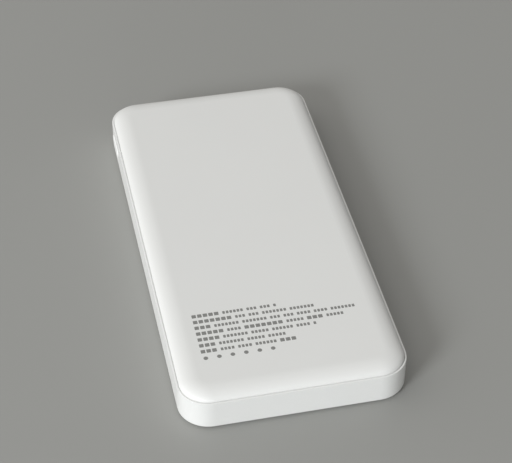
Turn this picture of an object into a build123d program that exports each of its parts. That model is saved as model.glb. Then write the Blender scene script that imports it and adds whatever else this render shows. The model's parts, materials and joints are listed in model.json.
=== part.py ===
from build123d import *
import os

# Slim pocket power bank: a straight-walled base tray and a crowned cover around one pouch cell
# and one board. Millimetres. X is the width, Y the length, Z the thickness; the ports are in the
# +Y end, the power button is on the -X wall, and the origin is the middle of the bottom face.

# Case
WIDTH = 70.0
LENGTH = 148.0
THICKNESS = 13.0
CORNER_R = 9.5  # plan radius of the tray's corners
TRAY_H = 10.6  # bottom face to the tray's rim
TRAY_WALL = 2.0
FLOOR = 1.6
BASE_TURN = 2.5  # how far in from the walls the bottom face starts
BASE_RISE = 1.2  # how far up the walls start
LIP = 0.55  # thickness of the rim that stands around the cover
LIP_EDGE_R = 0.1
LEDGE_Z = 9.4  # the cover's skirt stands on this ledge
SEAM_GAP = 0.11  # between the rim and the cover's skirt
COVER_WALL = 1.6
SHOULDER = 5.9  # how far in from the skirt the crown reaches its level top
SHOULDER_Z = 10.7  # where the skirt starts to curve in
ROOT = 0.4  # how deep a rib or boss is buried in the wall that it grows from

# Snap hooks on the cover, and the pockets in the tray's walls that their beads click into
HOOK_LENGTH = 6.0
HOOK_T = 1.0
HOOK_LOW = 7.3
HOOK_HEAD = 11.4
HOOK_GAP = 0.1
BEAD = 0.45
SIDE_HOOKS_Y = (-52.0, -18.0, 16.0, 36.0)
END_HOOKS_X = (-18.0, 18.0)

# Receptacles: (width, height, depth) of each shell, all centred on one height
PORT_Z = 5.55
PORT_RECESS = 0.4  # from the end wall's outer face to the shells' faces
PORT_GAP = 0.2  # between a shell and its hole in the wall
LEAD_IN = 0.35
USB_A = (13.1, 5.72, 14.0)
USB_A_X = (-20.8, 20.8)
USB_A_SHEET = 0.3
MICRO = (7.5, 2.6, 5.6)
MICRO_X = -7.0
MICRO_SHEET = 0.25
MICRO_CUT = 1.0  # the cut-off lower corners of the D shape
USB_C = (8.94, 3.26, 7.6)
USB_C_X = 6.7
USB_C_SHEET = 0.28

# Main board
BOARD_T = 1.0
BOARD_TOP = 4.6
BOARD_X = 31.5
BOARD_BACK = 42.8
BOARD_FRONT = 71.6
BOARD_CORNER = 3.7
NOTCH_GAP = 0.12
SCREWS = ((-23.5, 46.6), (27.0, 46.6))
SCREW_R = 0.8
SCREW_HEAD_R = 1.6
SCREW_HEAD_T = 0.9
SCREW_LENGTH = 3.4
BOSS_R = 2.4

# Pouch cell: width, length, thickness
CELL = (61.0, 106.0, 9.0)
CELL_BACK = -69.5
CELL_CORNER = 4.0
CELL_EDGE_R = 2.4
PAD_T = 0.2  # adhesive strips under the cell
SEAL = (4.0, 0.4)  # depth and thickness of the pouch's end seal
LEAD_R = 0.65

# Power button and tact switch
BUTTON_Y = 58.4
BUTTON_CAP = (11.0, 3.2)  # along the wall, height
BUTTON_PROUD = 0.25
BUTTON_GAP = 0.12
FLANGE = (12.0, 4.6, 0.8)  # along the wall, height, thickness
REST_GAP = 0.03
SWITCH_FRONT = -30.0
SWITCH = (1.8, 4.7, 3.0)  # depth, length, height of the housing
SWITCH_SHEET = 0.2
PLUNGER = (2.8, 1.2)  # along the wall, height
PLUNGER_Z = 6.0
PLUNGER_OUT = 1.3

# Charge indicator: lamps that shine through thinned spots of the side wall
LED = (0.8, 1.6, 1.1)  # depth, length, height
LED_PITCH = 2.4
LED_Y = [43.9 + LED_PITCH * i for i in range(4)]
LED_X = -30.0
GLOW_SKIN = 0.6  # wall left in front of each lamp

HALF_W = WIDTH / 2
HALF_L = LENGTH / 2
INNER_X = HALF_W - TRAY_WALL
INNER_Y = HALF_L - TRAY_WALL
PORT_FACE = HALF_L - PORT_RECESS
USB_A_BACK = PORT_FACE - USB_A[2]
MICRO_BACK = PORT_FACE - MICRO[2]
USB_C_BACK = PORT_FACE - USB_C[2]
COVER_INSET = LIP + SEAM_GAP
CEILING = THICKNESS - COVER_WALL
BOARD_LOW = BOARD_TOP - BOARD_T
CELL_LOW = FLOOR + PAD_T
CELL_TOP = CELL_LOW + CELL[2]
CELL_FRONT = CELL_BACK + CELL[1]
CELL_MIDDLE_Y = (CELL_BACK + CELL_FRONT) / 2


# ---------------------------------------------------------------- shapes used all over


def block(x, y, z):
    """A box from three (low, high) spans."""
    size = Box(x[1] - x[0], y[1] - y[0], z[1] - z[0])
    return Pos((x[0] + x[1]) / 2, (y[0] + y[1]) / 2, (z[0] + z[1]) / 2) * size


def around(centre, size):
    """The span of this size about a centre."""
    return (centre - size / 2, centre + size / 2)


def outward(edge, side, inner, outer):
    """The span from inner behind an edge to outer beyond it, on the side it faces."""
    return tuple(sorted((edge - side * inner, edge + side * outer)))


def post(x, y, radius, z):
    return Pos(x, y, z[0]) * extrude(Circle(radius), z[1] - z[0])


def slab(inset, z):
    """A prism of the tray's own outline, inset all round."""
    outline = RectangleRounded(WIDTH - 2 * inset, LENGTH - 2 * inset, CORNER_R - inset)
    return Pos(0, 0, z[0]) * extrude(outline, z[1] - z[0])


def along_y(outline, x, z, y):
    """An outline drawn in the end wall's plane, pushed along Y."""
    plane = Plane((x, y[0], z), x_dir=(-1, 0, 0), z_dir=(0, 1, 0))
    return extrude(plane * outline, y[1] - y[0])


def along_x(outline, y, z, x):
    """An outline drawn in the side wall's plane, pushed along X."""
    plane = Plane((x[0], y, z), x_dir=(0, 1, 0), z_dir=(1, 0, 0))
    return extrude(plane * outline, x[1] - x[0])


def merged(parts):
    whole = Part()
    for part in parts:
        whole += part
    return whole


def save(node, shape):
    solids = list(shape.solids())
    whole = solids[0] if len(solids) == 1 else Compound(children=solids)
    export_step(whole, f"parts/{node}.step")


# ---------------------------------------------------------------- case


def pillow(inset, low, bend, top, shoulder):
    """A slab whose upper edge is a quarter ellipse all the way round, from the bend to the level top."""
    radius = CORNER_R - inset
    reach_x = HALF_W - inset - radius
    reach_y = HALF_L - inset - radius
    arc = EllipticalCenterArc((radius - shoulder, bend), shoulder, top - bend, 0, arc_size=90)
    rest = Polyline(arc @ 1, (0, top), (0, low), (radius, low), arc @ 0)
    profile = make_face(Plane.XZ * (arc + rest))
    solid = block((-reach_x, reach_x), (-reach_y, reach_y), (low, top))
    for turn, offset, run in ((0, reach_x, reach_y), (90, reach_y, reach_x)):
        flank = extrude(Pos(offset, -run, 0) * profile, 2 * run, dir=(0, 1, 0))
        solid += Rot(0, 0, turn) * flank
        solid += Rot(0, 0, turn + 180) * flank
    corner = revolve(profile, Axis.Z, 90)
    for x, y, turn in ((1, 1, 0), (-1, 1, 90), (-1, -1, 180), (1, -1, 270)):
        solid += Pos(x * reach_x, y * reach_y, 0) * Rot(0, 0, turn) * corner
    return solid


def at_hooks(item):
    """An item made at a wall whose outer face is x = 0, copied to each hook's place."""
    copies = []
    for y in SIDE_HOOKS_Y:
        copies.append(Pos(HALF_W, y, 0) * item)
        copies.append(Pos(-HALF_W, y, 0) * Rot(0, 0, 180) * item)
    for x in END_HOOKS_X:
        copies.append(Pos(x, -HALF_L, 0) * Rot(0, 0, 270) * item)
    return copies


def hook():
    outer = -TRAY_WALL - HOOK_GAP
    leaf = block((outer - HOOK_T, outer), around(0, HOOK_LENGTH), (HOOK_LOW, HOOK_HEAD))
    bead = Polygon(
        (outer - 0.1, HOOK_LOW + 0.1),
        (outer, HOOK_LOW + 0.1),
        (outer + BEAD, HOOK_LOW + 0.7),
        (outer + BEAD, HOOK_LOW + 0.9),
        (outer, HOOK_LOW + 1.3),
        (outer - 0.1, HOOK_LOW + 1.3),
        align=None,
    )
    return leaf + extrude(Plane.XZ * bead, HOOK_LENGTH / 2, both=True)


def hook_pocket():
    deep = -TRAY_WALL - HOOK_GAP + BEAD + 0.1
    return block((-TRAY_WALL - 0.3, deep), around(0, HOOK_LENGTH + 0.6), (HOOK_LOW, HOOK_LOW + 1.5))


def micro_outline(margin):
    """The micro-USB's D shape, with its flat side up and a margin taken off all round."""
    wide = MICRO[0] / 2 - margin
    high = MICRO[1] / 2 - margin
    shape = Polygon(
        (-wide, high),
        (-wide, MICRO_CUT - high),
        (MICRO_CUT - wide, -high),
        (wide - MICRO_CUT, -high),
        (wide, MICRO_CUT - high),
        (wide, high),
        align=None,
    )
    return fillet(shape.vertices(), 0.25)


def usb_a_outline(margin):
    return RectangleRounded(USB_A[0] - 2 * margin, USB_A[1] - 2 * margin, max(0.5 - margin, 0.2))


def usb_c_outline(margin):
    return SlotOverall(USB_C[0] - 2 * margin, USB_C[1] - 2 * margin)


def port_holes():
    """Holes through the end wall for the receptacles, each with a small step at the outer face."""
    ports = [(x, usb_a_outline) for x in USB_A_X] + [(MICRO_X, micro_outline), (USB_C_X, usb_c_outline)]
    for x, outline in ports:
        yield along_y(outline(-PORT_GAP), x, PORT_Z, (INNER_Y - 1, HALF_L + 1))
        yield along_y(outline(-PORT_GAP - LEAD_IN), x, PORT_Z, (HALF_L - LEAD_IN, HALF_L + 1))


def board_supports():
    """Two screw bosses and three low ribs that the board lies on."""
    for x, y in SCREWS:
        yield post(x, y, BOSS_R, (FLOOR - ROOT, BOARD_LOW))
    for x in (-11.8, 0.0, 12.6):
        yield block(around(x, 1.0), (52.0, INNER_Y + ROOT), (FLOOR - ROOT, BOARD_LOW))


def cell_ribs():
    """Ribs on the tray's walls that centre the cell."""
    reach = INNER_X - CELL[0] / 2 - 0.25
    height = (FLOOR - ROOT, FLOOR + 5.2)
    for y in (-60.0, -35.0, -1.0, 26.0):
        for side in (-1, 1):
            yield block(outward(side * INNER_X, side, reach, ROOT), around(y, 1.0), height)
    for x in (-26.0, -8.0, 8.0, 26.0):
        yield block(around(x, 1.0), (-INNER_Y - ROOT, CELL_BACK - 0.25), height)


def glow_pockets():
    """Blind pockets that thin the side wall in front of each indicator lamp."""
    z = BOARD_TOP + LED[2] / 2
    for y in LED_Y:
        yield block((GLOW_SKIN - HALF_W, 0.3 - INNER_X), around(y, 1.8), around(z, 1.3))


def base_tray():
    tray = mirror(pillow(0, -TRAY_H, -BASE_RISE, 0, BASE_TURN), Plane.XY)
    tray = fillet(tray.edges().group_by(Axis.Z)[-1], LIP_EDGE_R)
    tray -= slab(TRAY_WALL, (FLOOR, TRAY_H + 1))
    tray -= slab(LIP, (LEDGE_Z, TRAY_H + 1))
    tray += merged([*board_supports(), *cell_ribs()])
    slot = SlotOverall(BUTTON_CAP[0] + 2 * BUTTON_GAP, BUTTON_CAP[1] + 2 * BUTTON_GAP)
    tray -= along_x(slot, BUTTON_Y, PORT_Z, (-HALF_W - 1, 1 - INNER_X))
    for cut in (*port_holes(), *glow_pockets(), *at_hooks(hook_pocket())):
        tray -= cut
    for x, y in SCREWS:
        tray -= post(x, y, SCREW_R + 0.02, (BOARD_TOP - SCREW_LENGTH - 0.2, BOARD_TOP))
    return tray


def cover_ribs():
    """Ribs that reach down from the ceiling and keep the USB-A receptacles from lifting."""
    low = PORT_Z + USB_A[1] / 2 + 0.1
    for x in USB_A_X:
        for y in (62.0, 67.0):
            yield block(around(x, 9.0), around(y, 1.2), (low, CEILING + ROOT))


def top_cover():
    inset = COVER_INSET + COVER_WALL
    cover = pillow(COVER_INSET, LEDGE_Z, SHOULDER_Z, THICKNESS, SHOULDER)
    cover -= pillow(inset, LEDGE_Z - 1, SHOULDER_Z, CEILING, CORNER_R - inset - 0.05)
    return cover + merged([*at_hooks(hook()), *cover_ribs()])


# ---------------------------------------------------------------- USB-A outputs

A_TONGUE_TOP = PORT_Z + USB_A[1] / 2 - USB_A_SHEET - 0.62
A_TONGUE_LOW = A_TONGUE_TOP - 1.84
A_TONGUE_W = 11.1
A_BLOCK = 3.2  # depth of the moulded block at the back of the shell
# each contact's place, and how far its end stays back from the shell's face
A_CONTACTS = ((-3.5, 2.2), (-1.0, 3.2), (1.0, 3.2), (3.5, 2.2))


def usb_a_shell(x):
    shell = along_y(usb_a_outline(0), x, PORT_Z, (USB_A_BACK, PORT_FACE))
    shell -= along_y(usb_a_outline(USB_A_SHEET), x, PORT_Z, (USB_A_BACK - 1, PORT_FACE + 1))
    for side in (-1, 1):
        for face in (-1, 1):
            shell = with_leaf_spring(shell, x + side * 2.9, face)
        edge = x + side * USB_A[0] / 2
        for y in (PORT_FACE - 8.0, PORT_FACE - 4.2):
            foot_z = (BOARD_TOP, BOARD_TOP + USB_A_SHEET)
            shell += block(outward(edge, side, USB_A_SHEET, 1.3), around(y, 2.0), foot_z)
    return shell


def with_leaf_spring(shell, x, face):
    """A leaf cut free on three sides in the shell's upper (face 1) or lower (face -1) sheet."""
    sheet_z = PORT_Z + face * (USB_A[1] - USB_A_SHEET) / 2
    window = block(around(x, 1.9), (PORT_FACE - 7.7, PORT_FACE - 3.1), around(sheet_z, 1.0))
    leaf = block(around(x, 1.3), (PORT_FACE - 7.4, PORT_FACE - 3.0), around(sheet_z, USB_A_SHEET))
    return shell - window + leaf


def usb_a_contacts(x):
    for offset_x, back in A_CONTACTS:
        top = A_TONGUE_LOW + 0.05
        strip_y = (USB_A_BACK - 0.6, PORT_FACE - back)
        strip = block(around(x + offset_x, 1.0), strip_y, (A_TONGUE_LOW - 0.2, top))
        tail = block(around(x + offset_x, 0.6), around(USB_A_BACK - 0.7, 0.3), (BOARD_TOP, top))
        yield strip + tail


def usb_a_tongue(x):
    back = along_y(usb_a_outline(USB_A_SHEET + 0.02), x, PORT_Z, (USB_A_BACK, USB_A_BACK + A_BLOCK))
    tongue = block(around(x, A_TONGUE_W), (USB_A_BACK, PORT_FACE - 1.2), (A_TONGUE_LOW, A_TONGUE_TOP))
    tongue = chamfer(tongue.edges().filter_by(Axis.X).group_by(Axis.Y)[-1], 0.4)
    return back + tongue - merged(usb_a_contacts(x))


# ---------------------------------------------------------------- micro-USB input

MICRO_TONGUE_LOW = PORT_Z + 0.1


def micro_usb_shell():
    shell = along_y(micro_outline(0), MICRO_X, PORT_Z, (MICRO_BACK, PORT_FACE))
    hollow = along_y(micro_outline(MICRO_SHEET), MICRO_X, PORT_Z, (MICRO_BACK - 1, PORT_FACE + 1))
    for side in (-1, 1):
        span = outward(MICRO_X + side * MICRO[0] / 2, side, MICRO_CUT, 1.1)
        shell += block(span, around(MICRO_BACK + 1.6, 1.6), (BOARD_TOP, BOARD_TOP + MICRO_SHEET))
    return shell - hollow


def micro_usb_contacts():
    for i in range(5):
        x = MICRO_X + (i - 2) * 0.65
        top = MICRO_TONGUE_LOW + 0.05
        strip_y = (MICRO_BACK - 0.5, PORT_FACE - 1.3)
        strip = block(around(x, 0.35), strip_y, (MICRO_TONGUE_LOW - 0.15, top))
        yield strip + block(around(x, 0.35), around(MICRO_BACK - 0.55, 0.3), (BOARD_TOP, top))


def micro_usb_tongue():
    outline = micro_outline(MICRO_SHEET + 0.02)
    back = along_y(outline, MICRO_X, PORT_Z, (MICRO_BACK, MICRO_BACK + 1.2))
    height = (MICRO_TONGUE_LOW, MICRO_TONGUE_LOW + 0.6)
    tongue = block(around(MICRO_X, 3.7), (MICRO_BACK, PORT_FACE - 0.8), height)
    return back + tongue - merged(micro_usb_contacts())


# ---------------------------------------------------------------- USB-C input

C_TONGUE = (6.69, 0.7)
C_PITCH = 0.5


def usb_c_shell():
    shell = along_y(usb_c_outline(0), USB_C_X, PORT_Z, (USB_C_BACK, PORT_FACE))
    hollow = along_y(usb_c_outline(USB_C_SHEET), USB_C_X, PORT_Z, (USB_C_BACK - 1, PORT_FACE + 1))
    for side in (-1, 1):
        span = outward(USB_C_X + side * USB_C[0] / 2, side, 0.6, 1.0)
        for y in (USB_C_BACK + 1.6, PORT_FACE - 3.6):
            shell += block(span, around(y, 1.2), (BOARD_TOP, BOARD_TOP + USB_C_SHEET))
    return shell - hollow


def usb_c_contacts():
    for i in range(12):
        x = USB_C_X + (i - 5.5) * C_PITCH
        for face in (-1, 1):
            level = PORT_Z + face * (C_TONGUE[1] / 2 - 0.05)
            yield block(around(x, 0.25), (USB_C_BACK + 0.8, PORT_FACE - 1.4), around(level, 0.14))


def usb_c_tongue():
    back = along_y(usb_c_outline(USB_C_SHEET + 0.02), USB_C_X, PORT_Z, (USB_C_BACK, USB_C_BACK + 2.0))
    plate = RectangleRounded(*C_TONGUE, 0.2)
    tongue = along_y(plate, USB_C_X, PORT_Z, (USB_C_BACK, PORT_FACE - 0.9))
    return back + tongue - merged(usb_c_contacts())


# ---------------------------------------------------------------- main board and what stands on it


def main_board():
    """The board, notched where each receptacle's shell sinks into its front edge."""
    height = (BOARD_LOW, BOARD_TOP)
    board = block((-BOARD_X, BOARD_X), (BOARD_BACK, BOARD_FRONT), height)
    board = chamfer(board.edges().filter_by(Axis.Z).group_by(Axis.Y)[-1], BOARD_CORNER)
    ports = [(x, USB_A) for x in USB_A_X] + [(MICRO_X, MICRO), (USB_C_X, USB_C)]
    for x, size in ports:
        back = PORT_FACE - size[2] - NOTCH_GAP
        notch_z = (BOARD_LOW - 1, BOARD_TOP + 1)
        board -= block(around(x, size[0] + 2 * NOTCH_GAP), (back, BOARD_FRONT + 1), notch_z)
    for x, y in SCREWS:
        board -= post(x, y, SCREW_R + 0.15, (BOARD_LOW - 1, BOARD_TOP + 1))
    return board


def board_screws():
    for x, y in SCREWS:
        head = post(x, y, SCREW_HEAD_R, (BOARD_TOP, BOARD_TOP + SCREW_HEAD_T))
        head = fillet(head.edges().group_by(Axis.Z)[-1], 0.35)
        shank = post(x, y, SCREW_R, (BOARD_TOP - SCREW_LENGTH, BOARD_TOP + 0.1))
        cross = Box(1.9, 0.4, 1.0) + Box(0.4, 1.9, 1.0)
        yield head + shank - Pos(x, y, BOARD_TOP + SCREW_HEAD_T) * cross


def on_board(x, y, size, lift=0.0):
    """A block of (x, y, z) size standing on the board."""
    z = BOARD_TOP + lift
    return block(around(x, size[0]), around(y, size[1]), (z, z + size[2]))


def inductor_cores():
    for x in (-9.5, 9.0):
        core = on_board(x, 53.5, (6.6, 6.6, 3.0), 0.1)
        yield chamfer(core.edges().filter_by(Axis.Z), 0.8)


def inductor_terminals():
    for x in (-9.5, 9.0):
        for side in (-1, 1):
            yield on_board(x + side * 2.6, 53.5, (1.2, 3.0, 0.1))


def controller_chip():
    chip = on_board(0, 54.0, (5.0, 5.0, 0.9))
    dot = post(-1.7, 55.7, 0.35, (BOARD_TOP + 0.82, BOARD_TOP + 1))
    return chip - dot


CHIP_PLACES = ((-2.5, 47.0), (5.0, 47.0))


def mosfet_bodies():
    for x, y in CHIP_PLACES:
        body = on_board(x, y, (4.9, 3.9, 1.4), 0.1)
        yield chamfer(body.edges().group_by(Axis.Z)[-1], 0.25)


def mosfet_legs():
    for x, y in CHIP_PLACES:
        for i in range(4):
            for side in (-1, 1):
                pin_x = x + (i - 1.5) * 1.27
                upright = on_board(pin_x, y + side * 2.1, (0.4, 0.3, 0.8))
                yield upright + on_board(pin_x, y + side * 2.45, (0.4, 1.0, 0.18))


def output_capacitors():
    """Two aluminium can capacitors, each on a square moulded base."""
    for x in (-19.5, 21.0):
        can = post(x, 53.6, 3.0, (BOARD_TOP + 0.9, BOARD_TOP + 6.4))
        yield fillet(can.edges().group_by(Axis.Z)[-1], 0.5)


def capacitor_bases():
    for x in (-19.5, 21.0):
        base = on_board(x, 53.6, (6.4, 6.4, 0.9))
        yield chamfer(base.edges().filter_by(Axis.Z).group_by(Axis.Y)[-1], 1.0)


def small_capacitors():
    for x in (-4.2, 4.1):
        for y in (52.4, 55.6):
            yield on_board(x, y, (1.25, 2.0, 0.9))
    for i in range(4):
        yield on_board(-11.0 + 3.2 * i, 62.0, (2.0, 1.25, 0.9))
        yield on_board(3.4 + 2.6 * i, 62.6, (1.25, 2.0, 0.9))


def chip_resistors():
    for i in range(5):
        yield on_board(-14.5 + 1.6 * i, 45.6, (0.8, 1.6, 0.5))
        yield on_board(-8.6 + 1.6 * i, 65.0, (0.8, 1.6, 0.5))


def indicator_leds():
    for y in LED_Y:
        yield on_board(LED_X, y, LED)


def led_baffle():
    """A comb between the lamps and the wall, with a light channel for each lamp."""
    x = (0.05 - INNER_X, LED_X - LED[0] / 2 - 0.05)
    y = (LED_Y[0] - LED_PITCH / 2, LED_Y[-1] + LED_PITCH / 2)
    comb = block(x, y, (BOARD_TOP, BOARD_TOP + 2.0))
    for lamp_y in LED_Y:
        comb -= block((x[0] - 1, x[1] + 1), around(lamp_y, 1.8), (BOARD_TOP - 1, BOARD_TOP + 1.25))
    return comb


# ---------------------------------------------------------------- button and tact switch

CAVITY = (3.9, 2.0, 1.5)  # along the wall, height, depth of the hollow in the switch's housing
PLUNGER_ROOT = (3.7, 1.8, 0.5)
HOUSING_FRONT = SWITCH_FRONT + SWITCH_SHEET


def power_button():
    inner = REST_GAP - INNER_X
    cap = along_x(SlotOverall(*BUTTON_CAP), BUTTON_Y, PORT_Z, (-HALF_W - BUTTON_PROUD, inner))
    cap = fillet(cap.edges().group_by(Axis.X)[0], 0.3)
    plate = RectangleRounded(FLANGE[0], FLANGE[1], 1.0)
    flange = along_x(plate, BUTTON_Y, PORT_Z, (inner, inner + FLANGE[2]))
    stem_tip = SWITCH_FRONT - PLUNGER_OUT - REST_GAP
    stem = block((inner + FLANGE[2] - 0.1, stem_tip), around(BUTTON_Y, 3.0), around(PLUNGER_Z, 1.4))
    return cap + flange + stem


def switch_housing():
    height = (BOARD_TOP, BOARD_TOP + SWITCH[2])
    housing = block((HOUSING_FRONT, HOUSING_FRONT + SWITCH[0]), around(BUTTON_Y, SWITCH[1]), height)
    hollow = (HOUSING_FRONT - 1, HOUSING_FRONT + CAVITY[2])
    return housing - block(hollow, around(BUTTON_Y, CAVITY[0]), around(PLUNGER_Z, CAVITY[1]))


def switch_bracket():
    """A steel front plate with two arms that hold the housing from its ends."""
    height = (BOARD_TOP, BOARD_TOP + SWITCH[2])
    front = block((SWITCH_FRONT, HOUSING_FRONT), around(BUTTON_Y, SWITCH[1] + 0.4), height)
    window = (SWITCH_FRONT - 1, HOUSING_FRONT + 1)
    front -= block(window, around(BUTTON_Y, PLUNGER[0] + 0.2), around(PLUNGER_Z, PLUNGER[1] + 0.2))
    for side in (-1, 1):
        end = BUTTON_Y + side * SWITCH[1] / 2
        front += block((SWITCH_FRONT, HOUSING_FRONT + 1.2), outward(end, side, 0, 0.2), height)
    return front


def switch_plunger():
    root_x = (HOUSING_FRONT + 0.02, HOUSING_FRONT + 0.02 + PLUNGER_ROOT[2])
    root = block(root_x, around(BUTTON_Y, PLUNGER_ROOT[0]), around(PLUNGER_Z, PLUNGER_ROOT[1]))
    tip = (SWITCH_FRONT - PLUNGER_OUT, root_x[1])
    return root + block(tip, around(BUTTON_Y, PLUNGER[0]), around(PLUNGER_Z, PLUNGER[1]))


def switch_dome():
    """The arched snap strip at the back of the hollow."""
    back = HOUSING_FRONT + CAVITY[2]
    rise, half, sheet = 0.45, 1.7, 0.1
    outer = ThreePointArc((back, -half), (back - rise, 0), (back, half))
    inner = ThreePointArc((back, half - sheet), (back - rise + sheet, 0), (back, sheet - half))
    ends = Line(outer @ 1, inner @ 0) + Line(inner @ 1, outer @ 0)
    strip = make_face(outer + inner + ends)
    return Pos(0, BUTTON_Y, PLUNGER_Z - 0.8) * extrude(strip, 1.6)


# ---------------------------------------------------------------- battery

SEAL_Z = CELL_LOW + CELL[2] / 2
SEAL_FRONT = CELL_FRONT + SEAL[0]
GUARD_TOP = SEAL_Z + SEAL[1] / 2 + 1.0
GUARD_X = (-21.0, 22.0)
TAB_X = (-15.0, 2.0)
LEADS_X = (15.5, 19.0)


def battery_cell():
    cell = extrude(RectangleRounded(CELL[0], CELL[1], CELL_CORNER), CELL[2])
    cell = fillet(cell.edges().group_by(Axis.Z)[0], CELL_EDGE_R)
    cell = fillet(cell.edges().group_by(Axis.Z)[-1], CELL_EDGE_R)
    return Pos(0, CELL_MIDDLE_Y, CELL_LOW) * cell


def cell_end_seal():
    half = CELL[0] / 2 - CELL_CORNER
    return block((-half, half), (CELL_FRONT, SEAL_FRONT), around(SEAL_Z, SEAL[1]))


def cell_tab(x):
    """A metal strip out of the seal, folded up and back onto the protection board."""
    sheet = 0.15
    span = around(x, 5.0)
    low = around(SEAL_Z, sheet)
    top = (GUARD_TOP, GUARD_TOP + sheet)
    strip = block(span, (SEAL_FRONT, SEAL_FRONT + 0.8), low)
    strip += block(span, (SEAL_FRONT + 0.65, SEAL_FRONT + 0.8), (low[0], top[1]))
    return strip + block(span, (CELL_FRONT + 1.8, SEAL_FRONT + 0.8), top)


def protection_board():
    return block(GUARD_X, (CELL_FRONT + 0.4, SEAL_FRONT - 0.1), (GUARD_TOP - 0.8, GUARD_TOP))


def protection_chips():
    for x in (-9.0, -5.4, 7.4, 11.0):
        yield block(around(x, 2.6), around(CELL_FRONT + 2.1, 2.4), (GUARD_TOP, GUARD_TOP + 0.9))


def protection_tape():
    """Thin yellow tape folded round the front of the protection board and the end seal."""
    sheet = 0.08
    span = (GUARD_X[0] - 1.0, LEADS_X[0] - 1.6)
    front = SEAL_FRONT + 1.1
    low = SEAL_Z - 0.6
    top = GUARD_TOP + 1.0
    tape = block(span, (CELL_FRONT + 0.1, front), (top, top + sheet))
    tape += block(span, (front - sheet, front), (low, top + sheet))
    return tape + block(span, (CELL_FRONT + 0.1, front), (low, low + sheet))


def battery_lead(x):
    """An insulated wire from the protection board down to its pad on the main board."""
    start_z = GUARD_TOP + LEAD_R
    end_z = BOARD_TOP + LEAD_R
    points = ((x, CELL_FRONT + 1.6, start_z), (x, 43.6, start_z), (x, 46.0, end_z), (x, 49.2, end_z))
    path = FilletPolyline(*points, radius=2.0)
    section = Plane(path @ 0, z_dir=path % 0) * Circle(LEAD_R)
    return sweep(section, path=path)


def solder_joints():
    """A blob of solder over each end of both leads."""
    for x in LEADS_X:
        for y, z in ((CELL_FRONT + 1.5, GUARD_TOP), (49.3, BOARD_TOP)):
            blob = Pos(x, y, z) * extrude(Ellipse(1.2, 1.0), 1.1)
            blob = fillet(blob.edges().group_by(Axis.Z)[-1], 0.5)
            yield blob - battery_lead(x)


def cell_adhesive_strips():
    for y in (-50.0, 17.0):
        yield block((-24.0, 24.0), around(y, 18.0), (FLOOR, CELL_LOW))


def cell_foam_pad():
    pad = extrude(RectangleRounded(44.0, 88.0, 2.0), CEILING - CELL_TOP)
    return Pos(0, CELL_MIDDLE_Y, CELL_TOP) * pad


def insulating_sheet():
    """Stiff paper between the battery's end and the main board."""
    return block((-27.0, 27.0), (BOARD_BACK - 0.55, BOARD_BACK - 0.35), (FLOOR, GUARD_TOP - 0.6))


# ---------------------------------------------------------------- files

NODES = {
    "base_tray": base_tray,
    "top_cover": top_cover,
    "power_button": power_button,
    "main_board": main_board,
    "board_screws": lambda: merged(board_screws()),
    "usb_a_shell_left": lambda: usb_a_shell(USB_A_X[0]),
    "usb_a_shell_right": lambda: usb_a_shell(USB_A_X[1]),
    "usb_a_tongue_left": lambda: usb_a_tongue(USB_A_X[0]),
    "usb_a_tongue_right": lambda: usb_a_tongue(USB_A_X[1]),
    "usb_a_contacts_left": lambda: merged(usb_a_contacts(USB_A_X[0])),
    "usb_a_contacts_right": lambda: merged(usb_a_contacts(USB_A_X[1])),
    "micro_usb_shell": micro_usb_shell,
    "micro_usb_tongue": micro_usb_tongue,
    "micro_usb_contacts": lambda: merged(micro_usb_contacts()),
    "usb_c_shell": usb_c_shell,
    "usb_c_tongue": usb_c_tongue,
    "usb_c_contacts": lambda: merged(usb_c_contacts()),
    "switch_housing": switch_housing,
    "switch_bracket": switch_bracket,
    "switch_plunger": switch_plunger,
    "switch_dome": switch_dome,
    "indicator_leds": lambda: merged(indicator_leds()),
    "led_baffle": led_baffle,
    "inductor_cores": lambda: merged(inductor_cores()),
    "inductor_terminals": lambda: merged(inductor_terminals()),
    "controller_chip": controller_chip,
    "mosfet_bodies": lambda: merged(mosfet_bodies()),
    "mosfet_legs": lambda: merged(mosfet_legs()),
    "output_capacitors": lambda: merged(output_capacitors()),
    "capacitor_bases": lambda: merged(capacitor_bases()),
    "small_capacitors": lambda: merged(small_capacitors()),
    "chip_resistors": lambda: merged(chip_resistors()),
    "battery_cell": battery_cell,
    "cell_end_seal": cell_end_seal,
    "cell_tab_positive": lambda: cell_tab(TAB_X[0]),
    "cell_tab_negative": lambda: cell_tab(TAB_X[1]),
    "protection_board": protection_board,
    "protection_chips": lambda: merged(protection_chips()),
    "protection_tape": protection_tape,
    "battery_lead_red": lambda: battery_lead(LEADS_X[0]),
    "battery_lead_black": lambda: battery_lead(LEADS_X[1]),
    "solder_joints": lambda: merged(solder_joints()),
    "cell_adhesive_strips": lambda: merged(cell_adhesive_strips()),
    "cell_foam_pad": cell_foam_pad,
    "insulating_sheet": insulating_sheet,
}

os.makedirs("parts", exist_ok=True)
for node, make in NODES.items():
    save(node, make())
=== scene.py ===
import json
import math
import random

import bmesh
import bpy
from mathutils import Matrix, Vector


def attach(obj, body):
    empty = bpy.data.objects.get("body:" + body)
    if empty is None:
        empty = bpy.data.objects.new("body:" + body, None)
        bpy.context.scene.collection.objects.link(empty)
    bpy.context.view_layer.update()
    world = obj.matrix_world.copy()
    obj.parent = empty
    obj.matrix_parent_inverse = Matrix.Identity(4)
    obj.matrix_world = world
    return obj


# A slim white power bank lying on a plain pale floor. Metres; MM turns millimetres into them.

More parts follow.
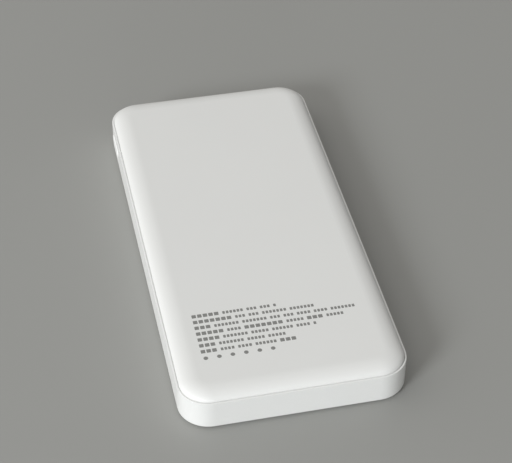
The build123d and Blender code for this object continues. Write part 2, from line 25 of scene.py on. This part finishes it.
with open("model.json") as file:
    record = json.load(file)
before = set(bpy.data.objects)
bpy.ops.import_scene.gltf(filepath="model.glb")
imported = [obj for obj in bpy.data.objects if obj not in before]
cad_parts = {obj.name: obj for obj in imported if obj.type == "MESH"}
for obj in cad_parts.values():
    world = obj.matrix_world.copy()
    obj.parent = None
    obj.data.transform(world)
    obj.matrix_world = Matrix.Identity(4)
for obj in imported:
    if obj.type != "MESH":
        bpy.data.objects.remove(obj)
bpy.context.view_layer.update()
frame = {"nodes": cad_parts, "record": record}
MM = 0.001

# ---------------------------------------------------------------- camera

LENS = 109.529  # in mm, on a sensor of this width
SENSOR = 36.0
CLIP = (0.01, 20.0)
EYE = (-0.08065, -0.37599, 0.34644)
EYE_TURN = (12.546, 41.261, -0.418)  # degrees to the right, downward, and of roll


def camera():
    """A long lens from the front, a little to the left, looking down along the power bank."""
    data = bpy.data.cameras.new("camera")
    data.lens = LENS
    data.sensor_width = SENSOR
    data.clip_start, data.clip_end = CLIP
    eye = bpy.data.objects.new("camera", data)
    bpy.context.scene.collection.objects.link(eye)
    yaw, pitch, roll = (math.radians(angle) for angle in EYE_TURN)
    turn = Matrix.Rotation(-yaw, 4, "Z") @ Matrix.Rotation(math.pi / 2 - pitch, 4, "X")
    spin = Matrix.Rotation(-roll, 4, "Z")
    eye.matrix_world = Matrix.Translation(EYE) @ turn @ spin
    bpy.context.scene.camera = eye


# ---------------------------------------------------------------- shader helpers

# the colour sockets of a Mix node, whose names are shared with its other kinds
MIX_FIRST, MIX_SECOND, MIX_RESULT = 6, 7, 2
NOISE_SPAN = (0.3, 0.7)  # where most of a noise's values lie


class Finish:
    """A material under construction: its node tree, and short calls for the nodes in common use."""

    def __init__(self, name, colour, roughness, metallic=0.0):
        self.material = bpy.data.materials.new(name)
        self.material.use_nodes = True
        self.tree = self.material.node_tree
        self.shader = self.tree.nodes["Principled BSDF"]
        self.colour = colour
        self.shader.inputs["Base Color"].default_value = (*colour, 1.0)
        self.shader.inputs["Roughness"].default_value = roughness
        self.shader.inputs["Metallic"].default_value = metallic
        self.place = self.add("ShaderNodeTexCoord").outputs["Object"]
        self.height = None

    def add(self, kind, **inputs):
        """A new node, with its inputs by name, spaces written as underscores."""
        node = self.tree.nodes.new(kind)
        for name, value in inputs.items():
            self.put(value, node.inputs[name.replace("_", " ")])
        return node

    def put(self, value, socket):
        """Links a socket to an input, or sets the input to a constant."""
        if isinstance(value, bpy.types.NodeSocket):
            self.tree.links.new(value, socket)
        else:
            socket.default_value = value

    def set(self, **inputs):
        """Sets or links the shader's own inputs."""
        for name, value in inputs.items():
            self.put(value, self.shader.inputs[name.replace("_", " ")])
        return self

    def stretched(self, x, y, z):
        """The object's coordinates, scaled unevenly so that a texture runs along one axis."""
        return self.add("ShaderNodeMapping", Vector=self.place, Scale=(x, y, z)).outputs["Vector"]

    def noise(self, size, detail=3.0, place=None):
        """Cloudy noise with lumps of about this size in millimetres, from 0 to 1."""
        node = self.add("ShaderNodeTexNoise", Scale=1.0 / (size * MM), Detail=detail)
        self.put(place or self.place, node.inputs["Vector"])
        return node.outputs["Fac"]

    def cells(self, size, feature="F1"):
        """Cells of about this size in millimetres: the distance to a cell's middle or to its edge."""
        node = self.add("ShaderNodeTexVoronoi", Scale=1.0 / (size * MM), Vector=self.place)
        node.feature = feature
        return node.outputs["Distance"]

    def ranged(self, value, low, high, start=0.0, end=1.0):
        """A value spread from (low, high) to (start, end) and clamped."""
        node = self.add("ShaderNodeMapRange", Value=value)
        for name, number in (("From Min", low), ("From Max", high), ("To Min", start), ("To Max", end)):
            node.inputs[name].default_value = number
        return node.outputs["Result"]

    def blend(self, factor, first, second):
        """A colour that goes from first to second, each a socket or (red, green, blue)."""
        node = self.tree.nodes.new("ShaderNodeMix")
        node.data_type = "RGBA"
        self.put(factor, node.inputs["Factor"])
        for value, socket in ((first, MIX_FIRST), (second, MIX_SECOND)):
            self.put((*value, 1.0) if isinstance(value, tuple) else value, node.inputs[socket])
        return node.outputs[MIX_RESULT]

    def tone(self, factor, spread):
        """The base colour, darker and lighter by this share as factor goes from 0 to 1."""
        dark = tuple(c * (1 - spread) for c in self.colour)
        light = tuple(min(1.0, c * (1 + spread)) for c in self.colour)
        return self.blend(factor, dark, light)

    def gloss(self, value, low, high, span=NOISE_SPAN):
        """Roughness from low to high as a noise goes across this span of its values."""
        return self.set(Roughness=self.ranged(value, *span, low, high))

    def relief(self, height, depth):
        """Adds a bump of this depth in millimetres on top of any earlier one."""
        bump = self.add("ShaderNodeBump", Height=height, Strength=1.0, Distance=depth * MM)
        if self.height:
            self.put(self.height, bump.inputs["Normal"])
        self.height = bump.outputs["Normal"]
        self.put(self.height, self.shader.inputs["Normal"])
        return self

    def done(self):
        return self.material


# ---------------------------------------------------------------- finishes of the outside


def white_plastic(name, colour, grain):
    """Satin injection-moulded plastic: very slight sink waves, fine tool grain, uneven gloss."""
    f = Finish(name, colour, 0.36)
    waves = f.noise(34.0, 1.0)
    fine = f.noise(grain, 2.0)
    f.set(Base_Color=f.tone(f.noise(22.0, 4.0), 0.012))
    f.gloss(f.noise(5.0, 5.0), 0.32, 0.42)
    f.relief(waves, 0.03)
    f.relief(fine, 0.0012)
    return f.done()


def case_white():
    return white_plastic("case_white", (0.80, 0.80, 0.785), 0.25)


def button_white():
    return white_plastic("button_white", (0.90, 0.90, 0.89), 0.18)


def ink():
    """Pad-printed grey ink, a little uneven at its edges."""
    f = Finish("printing_ink", (0.24, 0.24, 0.23), 0.55)
    f.set(Base_Color=f.tone(f.noise(0.6, 4.0), 0.18))
    return f.relief(f.noise(0.12), 0.001).done()


# ---------------------------------------------------------------- finishes of metal parts


def rolled_metal(name, colour, roughness, along=(1.0, 14.0, 1.0)):
    """Metal with fine drawn lines across the axis that is scaled up most, and a mottled gloss."""
    f = Finish(name, colour, roughness, 1.0)
    lines = f.noise(0.5, 4.0, f.stretched(*along))
    f.set(Base_Color=f.tone(f.noise(1.5), 0.06))
    f.gloss(lines, roughness * 0.75, roughness * 1.35)
    return f.relief(lines, 0.002).done()


def shell_nickel():
    return rolled_metal("shell_nickel", (0.62, 0.61, 0.57), 0.26)


def screw_steel():
    return rolled_metal("screw_steel", (0.52, 0.52, 0.53), 0.33, (1.0, 1.0, 6.0))


def contact_gold():
    return rolled_metal("contact_gold", (0.86, 0.62, 0.24), 0.24)


def tab_aluminium():
    return rolled_metal("tab_aluminium", (0.76, 0.76, 0.77), 0.38, (10.0, 1.0, 1.0))


def tab_nickel():
    return rolled_metal("tab_nickel", (0.58, 0.56, 0.51), 0.30, (10.0, 1.0, 1.0))


def capacitor_can():
    return rolled_metal("capacitor_can", (0.74, 0.74, 0.75), 0.30, (1.0, 1.0, 9.0))


def solder_tin():
    """Bright solder with a frosted, slightly wrinkled skin."""
    f = Finish("solder_tin", (0.72, 0.72, 0.73), 0.28, 1.0)
    skin = f.noise(0.35, 5.0)
    f.gloss(skin, 0.18, 0.45, (0.35, 0.65))
    f.set(Base_Color=f.tone(skin, 0.08))
    return f.relief(skin, 0.01).done()


def pouch_silver():
    """Laminated aluminium foil with faint creases and an embossed grain."""
    f = Finish("pouch_silver", (0.66, 0.67, 0.68), 0.34, 0.85)
    creases = f.cells(9.0, "DISTANCE_TO_EDGE")
    f.gloss(f.noise(6.0, 4.0), 0.28, 0.46)
    f.set(Base_Color=f.tone(f.noise(12.0), 0.04))
    f.relief(f.ranged(creases, 0.0, 0.12), 0.02)
    return f.relief(f.noise(0.5, 4.0), 0.006).done()


# ---------------------------------------------------------------- finishes of inner parts


def moulded(name, colour, roughness, grain=0.3, depth=0.004, spread=0.06):
    """Plain moulded or sintered material with its own grain size."""
    f = Finish(name, colour, roughness)
    f.set(Base_Color=f.tone(f.noise(grain * 4), spread))
    f.gloss(f.noise(grain * 8, 4.0), roughness * 0.85, min(1.0, roughness * 1.15))
    return f.relief(f.noise(grain, 2.0), depth).done()


def socket_black():
    return moulded("socket_black", (0.018, 0.018, 0.020), 0.42)


def chip_black():
    return moulded("chip_black", (0.022, 0.022, 0.024), 0.55, 0.15)


def plunger_white():
    return moulded("plunger_white", (0.74, 0.73, 0.68), 0.45)


def ferrite_grey():
    return moulded("ferrite_grey", (0.085, 0.085, 0.09), 0.62, 0.12, 0.008, 0.2)


def ceramic_tan():
    return moulded("ceramic_tan", (0.42, 0.30, 0.19), 0.40, 0.15, 0.003, 0.12)


def resistor_black():
    return moulded("resistor_black", (0.03, 0.03, 0.035), 0.25, 0.2, 0.002)


def lead_red():
    return moulded("lead_red", (0.55, 0.02, 0.02), 0.50, 0.4)


def lead_black():
    return moulded("lead_black", (0.015, 0.015, 0.015), 0.50, 0.4)


def adhesive_white():
    return moulded("adhesive_white", (0.78, 0.78, 0.75), 0.80, 0.5, 0.01)


def paper_pale():
    return moulded("paper_pale", (0.50, 0.53, 0.45), 0.75, 0.4, 0.01, 0.08)


def led_clear():
    """Yellowish clear resin."""
    f = Finish("led_clear", (0.88, 0.84, 0.55), 0.12)
    f.set(Transmission_Weight=0.35, IOR=1.5)
    f.set(Base_Color=f.tone(f.noise(0.4), 0.06))
    return f.relief(f.noise(0.2), 0.001).done()


def tape_amber():
    """Polyimide tape: glossy amber film with faint drawn streaks."""
    f = Finish("tape_amber", (0.66, 0.30, 0.03), 0.20)
    streaks = f.noise(1.2, 3.0, f.stretched(0.15, 1.0, 1.0))
    f.set(Base_Color=f.tone(streaks, 0.10))
    f.gloss(streaks, 0.15, 0.28)
    return f.relief(streaks, 0.01).done()


def foam_grey():
    """Closed-cell foam."""
    f = Finish("foam_grey", (0.13, 0.13, 0.14), 0.92)
    pores = f.cells(0.55)
    f.set(Base_Color=f.tone(f.ranged(pores, 0.1, 0.6), 0.30))
    return f.relief(pores, 0.12).done()


def board_green():
    """Solder mask over copper tracks, which show as paler raised lines."""
    f = Finish("board_green", (0.012, 0.16, 0.055), 0.32)
    tracks = f.ranged(f.cells(2.4, "DISTANCE_TO_EDGE"), 0.05, 0.09, 1.0, 0.0)
    copper = f.blend(f.noise(4.0), (0.03, 0.26, 0.09), (0.04, 0.30, 0.10))
    f.set(Base_Color=f.blend(tracks, f.tone(f.noise(7.0), 0.12), copper))
    f.gloss(f.noise(3.0), 0.26, 0.40)
    return f.relief(tracks, 0.02).done()


FINISHES = (
    case_white, button_white, shell_nickel, screw_steel, contact_gold, tab_aluminium, tab_nickel,
    capacitor_can, solder_tin, pouch_silver, socket_black, chip_black, plunger_white, ferrite_grey,
    ceramic_tan, resistor_black, lead_red, lead_black, adhesive_white, paper_pale, led_clear,
    tape_amber, foam_grey, board_green,
)


def dress_nodes():
    """Gives every CAD node the finish that its record slot names."""
    made = {make.__name__: make() for make in FINISHES}
    for row in frame["record"]["subparts"]:
        mesh = frame["nodes"][row["node"]].data
        mesh.materials.clear()
        mesh.materials.append(made[row["material_slot"]])


# ---------------------------------------------------------------- the printed block

# in millimetres: where the block starts, the step from row to row, and each row's length
PRINT_LEFT = -25.8
PRINT_FIRST_Y = -39.7
PRINT_STEP = 2.53
PRINT_ROWS = (26.4, 37.8, 51.1, 46.9, 36.7, 28.3, 30.5)
# (width, height, gap) of a mark, in the words of large marks and in those of small ones
LARGE = (1.35, 1.4, 0.4)
SMALL = (0.78, 1.15, 0.34)
LARGE_SHARE = 0.2  # of the words after a row's first, which is always large
WORD_GAP = 0.85
WORD_MARKS = (3, 7)
WORD_SEED = 7
# the row of dots: its first dot's place from the block's left, and its drop below the other rows' step
DOTS = 6
DOT_R = 0.7
DOT_STEP = 4.1
DOT_INSET = 1.0
DOT_DROP = 0.3
INK_T = 0.02


def cover_height(x, y):
    """The cover's own surface height above a point, found by a ray from above."""
    cover = frame["nodes"]["top_cover"]
    hit, place, _, _ = cover.ray_cast(Vector((x, y, 1.0)), Vector((0.0, 0.0, -1.0)))
    return place.z


def add_pad(bm, outline):
    """A thin pad of ink over a flat outline of (x, y) points in millimetres, laid on the cover."""
    lower, upper = [], []
    for x, y in outline:
        z = cover_height(x * MM, y * MM)
        lower.append(bm.verts.new((x * MM, y * MM, z - 0.5 * INK_T * MM)))
        upper.append(bm.verts.new((x * MM, y * MM, z + INK_T * MM)))
    bm.faces.new(upper)
    bm.faces.new(reversed(lower))
    for i in range(len(outline)):
        j = (i + 1) % len(outline)
        bm.faces.new((lower[i], lower[j], upper[j], upper[i]))


def rounded_bar(x, y, width, height, radius=0.14, steps=3):
    """The outline of a bar with rounded corners about a middle point."""
    points = []
    for cx, cy, start in ((1, 1, 0), (-1, 1, 90), (-1, -1, 180), (1, -1, 270)):
        for i in range(steps + 1):
            a = math.radians(start + 90 * i / steps)
            points.append((
                x + cx * (width / 2 - radius) + radius * math.cos(a),
                y + cy * (height / 2 - radius) + radius * math.sin(a),
            ))
    return points


def ring_of(x, y, radius, steps=20):
    """The outline of a round dot."""
    turn = 2 * math.pi / steps
    return [(x + radius * math.cos(turn * i), y + radius * math.sin(turn * i)) for i in range(steps)]


def printed_marks():
    """Rows of plain blocks, and a last row of plain dots, where the real one has its small print."""
    bm = bmesh.new()
    dice = random.Random(WORD_SEED)
    for row, length in enumerate(PRINT_ROWS):
        y = PRINT_FIRST_Y - row * PRINT_STEP
        x = PRINT_LEFT
        right = PRINT_LEFT + length
        while x < right:
            width, height, gap = LARGE if x == PRINT_LEFT or dice.random() < LARGE_SHARE else SMALL
            for _ in range(dice.randint(*WORD_MARKS)):
                if x + width > right:
                    x = right
                    break
                add_pad(bm, rounded_bar(x + width / 2, y, width, height))
                x += width + gap
            x += WORD_GAP
    y = PRINT_FIRST_Y - len(PRINT_ROWS) * PRINT_STEP - DOT_DROP
    for i in range(DOTS):
        add_pad(bm, ring_of(PRINT_LEFT + DOT_INSET + DOT_STEP * i, y, DOT_R))
    mesh = bpy.data.meshes.new("printed_marks")
    bm.to_mesh(mesh)
    bm.free()
    mesh.materials.append(ink())
    piece = bpy.data.objects.new("printed_marks", mesh)
    bpy.context.scene.collection.objects.link(piece)
    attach(piece, "case")


# ---------------------------------------------------------------- room

FLOOR_REACH = 8.0


def floor():
    """A wide sheet of pale grey that fills the view."""
    mesh = bpy.data.meshes.new("floor")
    corners = [(x * FLOOR_REACH, y * FLOOR_REACH, 0) for x, y in ((-1, -1), (1, -1), (1, 1), (-1, 1))]
    mesh.from_pydata(corners, [], [range(len(corners))])
    f = Finish("floor_grey", (0.332, 0.332, 0.318), 0.5)
    f.set(Base_Color=f.tone(f.noise(60.0, 3.0), 0.01))
    mesh.materials.append(f.done())
    sheet = bpy.data.objects.new("floor", mesh)
    bpy.context.scene.collection.objects.link(sheet)


SKY_COLOUR = (1.0, 0.99, 0.965, 1.0)
SKY_LEVEL = 0.51
SKY_LEAN = (-0.51, 0.0, 0.13)  # how much brighter the sky gets towards +X, +Y and +Z
DAYLIGHT = (0.96, 1.0, 1.03)
# each lamp's place and size in metres, and its watts
LAMPS = {
    "window": ((-1.40, -1.17, 0.81), (0.5, 0.5), 21.4),
    "front_fill": ((-0.41, -1.95, 0.21), (0.5, 0.25), 5.3),
}


def softbox(name, place, size, power):
    """A rectangular lamp that faces the power bank."""
    data = bpy.data.lights.new(name, "AREA")
    data.shape = "RECTANGLE"
    data.size, data.size_y = size
    data.energy = power
    data.color = DAYLIGHT
    lamp = bpy.data.objects.new(name, data)
    bpy.context.scene.collection.objects.link(lamp)
    lamp.location = place
    lamp.rotation_euler = (-Vector(place)).to_track_quat("-Z", "Y").to_euler()


def sky_maths(tree, kind, operation, socket, constant):
    """A maths node of the sky's tree, which combines a socket with a constant."""
    node = tree.nodes.new(kind)
    node.operation = operation
    tree.links.new(socket, node.inputs[0])
    node.inputs[1].default_value = constant
    return node.outputs["Value"]


def sky():
    """Soft light from all round, brighter on the sides that SKY_LEAN gives and never below none."""
    world = bpy.data.worlds.new("world")
    world.use_nodes = True
    tree = world.node_tree
    background = tree.nodes["Background"]
    background.inputs["Color"].default_value = SKY_COLOUR
    direction = tree.nodes.new("ShaderNodeTexCoord").outputs["Generated"]
    lean = sky_maths(tree, "ShaderNodeVectorMath", "DOT_PRODUCT", direction, SKY_LEAN)
    strength = sky_maths(tree, "ShaderNodeMath", "ADD", lean, SKY_LEVEL)
    strength = sky_maths(tree, "ShaderNodeMath", "MAXIMUM", strength, 0.0)
    tree.links.new(strength, background.inputs["Strength"])
    bpy.context.scene.world = world


def lights():
    """The sky, the lamps, and plain tones that keep whites as they are lit."""
    sky()
    for name, (place, size, power) in LAMPS.items():
        softbox(name, place, size, power)
    bpy.context.scene.view_settings.view_transform = "Standard"


camera()
floor()
lights()
dress_nodes()
printed_marks()
